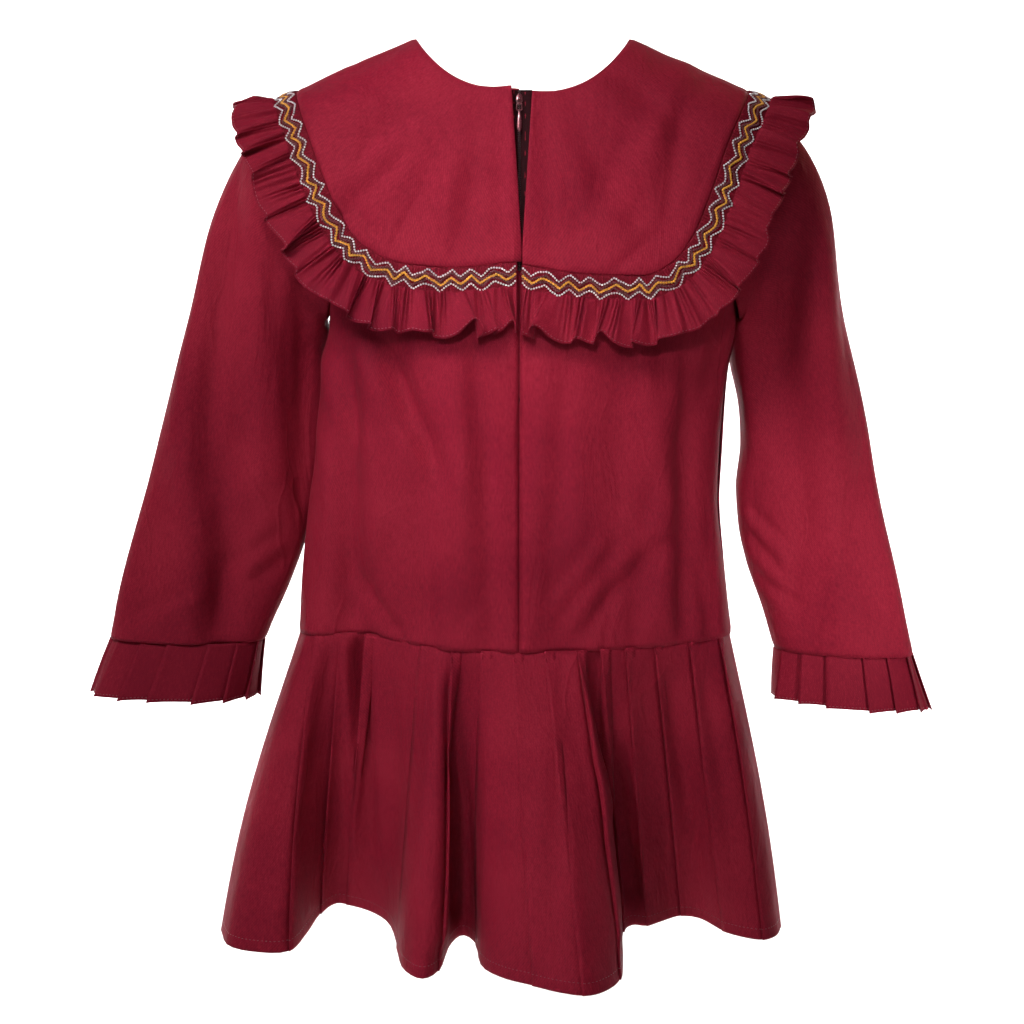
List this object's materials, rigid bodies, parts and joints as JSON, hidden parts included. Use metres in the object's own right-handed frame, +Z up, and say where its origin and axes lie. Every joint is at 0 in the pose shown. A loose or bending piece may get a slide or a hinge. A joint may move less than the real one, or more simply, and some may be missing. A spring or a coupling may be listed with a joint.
{
  "type": "smocked dress",
  "caption": "Girl's long-sleeved dropped-waist dress with a wide smocked and ruffled collar, a back zip, pleated cuffs and a pleated skirt, filled out as worn.",
  "frame": {"origin": "between the two neck points, at the top of the shoulder seams, where the wearer's shoulders hold the dress", "axes": "+Z up along the body, -Y out of the back with the zip, +X to the wearer's right"},
  "size_m": [0.6813, 0.2504, 0.7071],
  "materials": {
    "wine_cotton": "matt woven cotton with a slight sheen",
    "wine_cotton_trim": "matt woven cotton, gathered or pleated",
    "zip_tape_weave": "matt woven tape",
    "zip_enamel": "satin enamel"
  },
  "bodies": {
    "dress": {"bodice_front": "wine_cotton", "bodice_back_left": "wine_cotton", "bodice_back_right": "wine_cotton", "collar_front": "wine_cotton", "collar_back_left": "wine_cotton", "collar_back_right": "wine_cotton", "sleeve_left": "wine_cotton", "sleeve_right": "wine_cotton", "skirt_back": "wine_cotton", "skirt_front": "wine_cotton", "band_front": "wine_cotton_trim", "band_back_left": "wine_cotton_trim", "band_back_right": "wine_cotton_trim", "ruffle_front": "wine_cotton_trim", "ruffle_back_left": "wine_cotton_trim", "ruffle_back_right": "wine_cotton_trim", "cuff_left": "wine_cotton_trim", "cuff_right": "wine_cotton_trim", "zip_tape": "zip_tape_weave", "zip_slider": "zip_enamel"},
    "zip_pull": {"zip_pull": "zip_enamel"}
  },
  "joints": [
    {"name": "zip_pull", "type": "hinge", "parent": "dress", "child": "zip_pull", "pos_m": [0, -0.072, -0.0478], "axis": [-1, 0, 0], "range_deg": [0, 160]}
  ]
}
